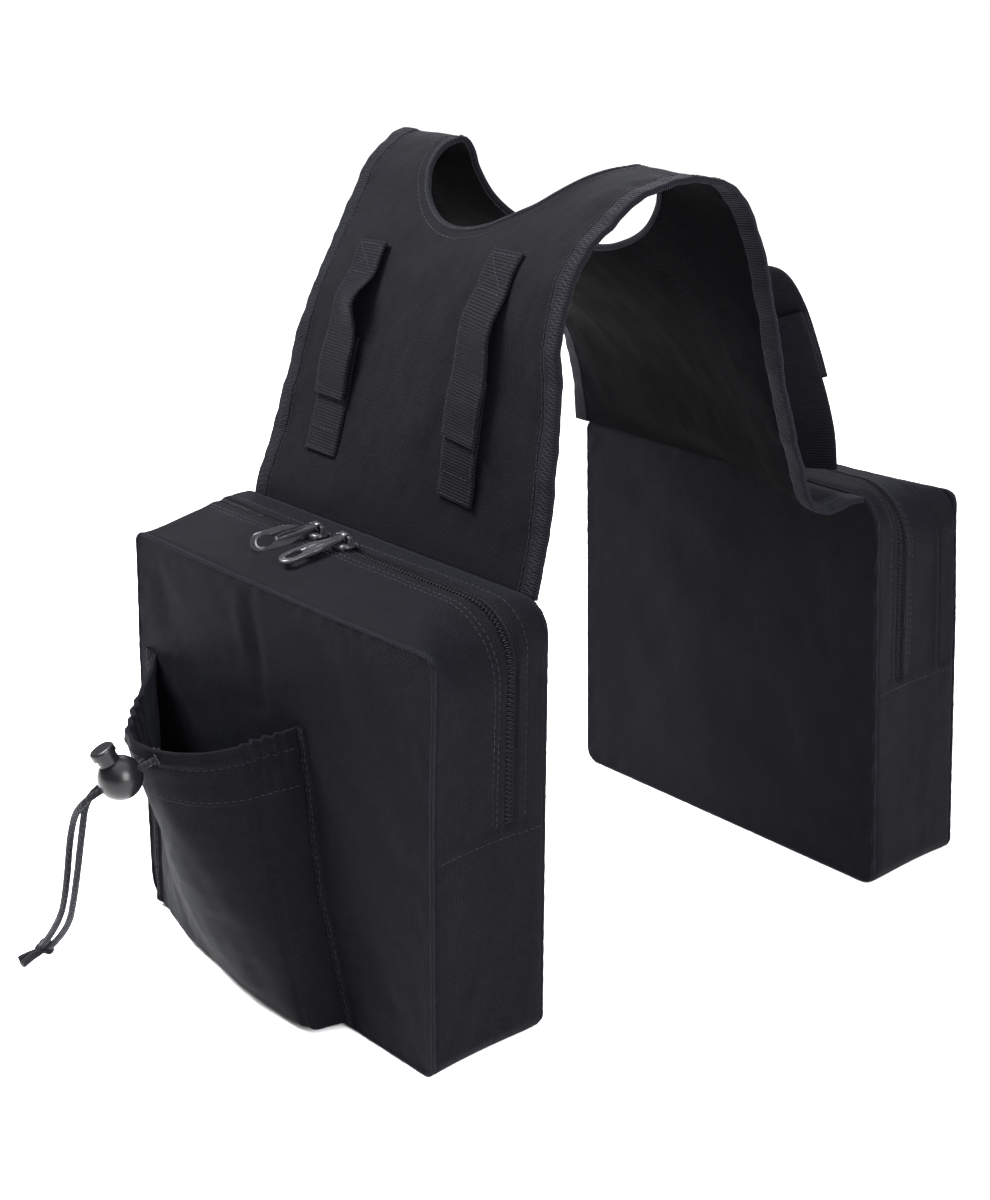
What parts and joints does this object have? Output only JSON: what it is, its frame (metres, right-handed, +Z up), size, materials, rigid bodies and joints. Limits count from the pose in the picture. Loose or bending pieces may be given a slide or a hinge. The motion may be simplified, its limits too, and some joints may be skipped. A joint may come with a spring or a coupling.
{
  "type": "saddle bag",
  "caption": "Throw-over saddle bag: two zipped box panniers with bottle pockets, joined by an arched fabric yoke with a round hole and hook-and-loop straps.",
  "frame": {"origin": "on the ground, midway between the two panniers", "axes": "+Z up, X along the panniers' width, Y across the saddle with the near pannier on -Y"},
  "size_m": [0.2318, 0.551, 0.391],
  "materials": {
    "black_oxford": "woven",
    "black_binding": "ribbed tape",
    "black_webbing": "woven",
    "hook_and_loop": "matt pile",
    "zip_tape": "nylon coil",
    "black_cord": "braided",
    "black_painted_metal": "satin",
    "black_plastic": "satin",
    "spring_steel": "wire"
  },
  "bodies": {
    "yoke": {"yoke_panel": "black_oxford", "yoke_left_binding": "black_binding", "yoke_right_binding": "black_binding", "cap_hole_binding": "black_binding", "strap_loop_patches": "hook_and_loop", "near_left_strap_tab": "black_webbing", "near_right_strap_tab": "black_webbing", "far_left_strap_tab": "black_webbing", "far_right_strap_tab": "black_webbing"},
    "near_bag": {"near_outer_panel": "black_oxford", "near_inner_panel": "black_oxford", "near_lower_gusset": "black_oxford", "near_zip_outer_gusset": "black_oxford", "near_zip_inner_gusset": "black_oxford", "near_zip": "zip_tape", "near_front_piping": "black_binding", "near_rear_piping": "black_binding", "near_bottle_pocket": "black_oxford", "near_pocket_hem": "black_oxford", "near_drawstring": "black_cord"},
    "near_slider_left": {"near_zip_slider_left": "black_painted_metal"},
    "near_pull_left": {"near_zip_pull_left": "black_painted_metal"},
    "near_slider_right": {"near_zip_slider_right": "black_painted_metal"},
    "near_pull_right": {"near_zip_pull_right": "black_painted_metal"},
    "near_lock": {"near_lock_ball": "black_plastic", "near_cord_tail_a": "black_cord", "near_cord_tail_b": "black_cord", "near_cord_knot": "black_cord", "near_lock_spring": "spring_steel"},
    "near_plunger": {"near_lock_plunger": "black_plastic"},
    "near_left_strap": {"near_left_strap": "black_webbing", "near_left_strap_hooks": "hook_and_loop"},
    "near_right_strap": {"near_right_strap": "black_webbing", "near_right_strap_hooks": "hook_and_loop"},
    "far_bag": {"far_outer_panel": "black_oxford", "far_inner_panel": "black_oxford", "far_lower_gusset": "black_oxford", "far_zip_outer_gusset": "black_oxford", "far_zip_inner_gusset": "black_oxford", "far_zip": "zip_tape", "far_front_piping": "black_binding", "far_rear_piping": "black_binding", "far_bottle_pocket": "black_oxford", "far_pocket_hem": "black_oxford", "far_drawstring": "black_cord"},
    "far_slider_left": {"far_zip_slider_left": "black_painted_metal"},
    "far_pull_left": {"far_zip_pull_left": "black_painted_metal"},
    "far_slider_right": {"far_zip_slider_right": "black_painted_metal"},
    "far_pull_right": {"far_zip_pull_right": "black_painted_metal"},
    "far_lock": {"far_lock_ball": "black_plastic", "far_cord_tail_a": "black_cord", "far_cord_tail_b": "black_cord", "far_cord_knot": "black_cord", "far_lock_spring": "spring_steel"},
    "far_plunger": {"far_lock_plunger": "black_plastic"},
    "far_left_strap": {"far_left_strap": "black_webbing", "far_left_strap_hooks": "hook_and_loop"},
    "far_right_strap": {"far_right_strap": "black_webbing", "far_right_strap_hooks": "hook_and_loop"}
  },
  "joints": [
    {"name": "near_bag_swing", "type": "hinge", "parent": "yoke", "child": "near_bag", "pos_m": [0, -0.115, 0.216], "axis": [-1, 0, 0], "range_deg": [-30, 70]},
    {"name": "near_slider_left_travel", "type": "slide", "parent": "near_bag", "child": "near_slider_left", "axis": [1, 0, 0], "range_m": [-0.07, 0.004]},
    {"name": "near_pull_left_flop", "type": "hinge", "parent": "near_slider_left", "child": "near_pull_left", "pos_m": [-0.025, -0.136, 0.2205], "axis": [1, 0, 0], "range_deg": [-125, 0]},
    {"name": "near_slider_right_travel", "type": "slide", "parent": "near_bag", "child": "near_slider_right", "axis": [1, 0, 0], "range_m": [-0.004, 0.095]},
    {"name": "near_pull_right_flop", "type": "hinge", "parent": "near_slider_right", "child": "near_pull_right", "pos_m": [-0.004, -0.136, 0.2205], "axis": [1, 0, 0], "range_deg": [-125, 0]},
    {"name": "near_drawstring_pull", "type": "slide", "parent": "near_bag", "child": "near_lock", "axis": [-0.4415, -0.7647, -0.4695], "range_m": [0, 0.012]},
    {"name": "near_plunger_press", "type": "slide", "parent": "near_lock", "child": "near_plunger", "axis": [0.2347, 0.4066, -0.8829], "range_m": [0, 0.004], "stiffness_N_per_m": 400, "springref_m": -0.004, "deforming": ["near_lock_spring"]},
    {"name": "near_left_strap_peel", "type": "hinge", "parent": "yoke", "child": "near_left_strap", "pos_m": [-0.062, -0.06549, 0.3419], "axis": [-0.9743, 0.2138, 0.0702], "range_deg": [0, 70]},
    {"name": "near_right_strap_peel", "type": "hinge", "parent": "yoke", "child": "near_right_strap", "pos_m": [0.046, -0.08919, 0.33412], "axis": [-0.9743, 0.2138, 0.0702], "range_deg": [0, 70]},
    {"name": "far_bag_swing", "type": "hinge", "parent": "yoke", "child": "far_bag", "pos_m": [0, 0.115, 0.216], "axis": [1, 0, 0], "range_deg": [-30, 70]},
    {"name": "far_slider_left_travel", "type": "slide", "parent": "far_bag", "child": "far_slider_left", "axis": [1, 0, 0], "range_m": [-0.07, 0.004]},
    {"name": "far_pull_left_flop", "type": "hinge", "parent": "far_slider_left", "child": "far_pull_left", "pos_m": [-0.025, 0.136, 0.2205], "axis": [-1, 0, 0], "range_deg": [-125, 0]},
    {"name": "far_slider_right_travel", "type": "slide", "parent": "far_bag", "child": "far_slider_right", "axis": [1, 0, 0], "range_m": [-0.004, 0.095]},
    {"name": "far_pull_right_flop", "type": "hinge", "parent": "far_slider_right", "child": "far_pull_right", "pos_m": [-0.004, 0.136, 0.2205], "axis": [-1, 0, 0], "range_deg": [-125, 0]},
    {"name": "far_drawstring_pull", "type": "slide", "parent": "far_bag", "child": "far_lock", "axis": [-0.4415, 0.7647, -0.4695], "range_m": [0, 0.012]},
    {"name": "far_plunger_press", "type": "slide", "parent": "far_lock", "child": "far_plunger", "axis": [0.2347, -0.4066, -0.8829], "range_m": [0, 0.004], "stiffness_N_per_m": 400, "springref_m": -0.004, "deforming": ["far_lock_spring"]},
    {"name": "far_left_strap_peel", "type": "hinge", "parent": "yoke", "child": "far_left_strap", "pos_m": [-0.062, 0.02188, 0.3385], "axis": [0.9965, 0.0804, 0.0222], "range_deg": [0, 70]},
    {"name": "far_right_strap_peel", "type": "hinge", "parent": "yoke", "child": "far_right_strap", "pos_m": [0.067, 0.03229, 0.34137], "axis": [0.9965, 0.0804, 0.0222], "range_deg": [0, 70]}
  ]
}
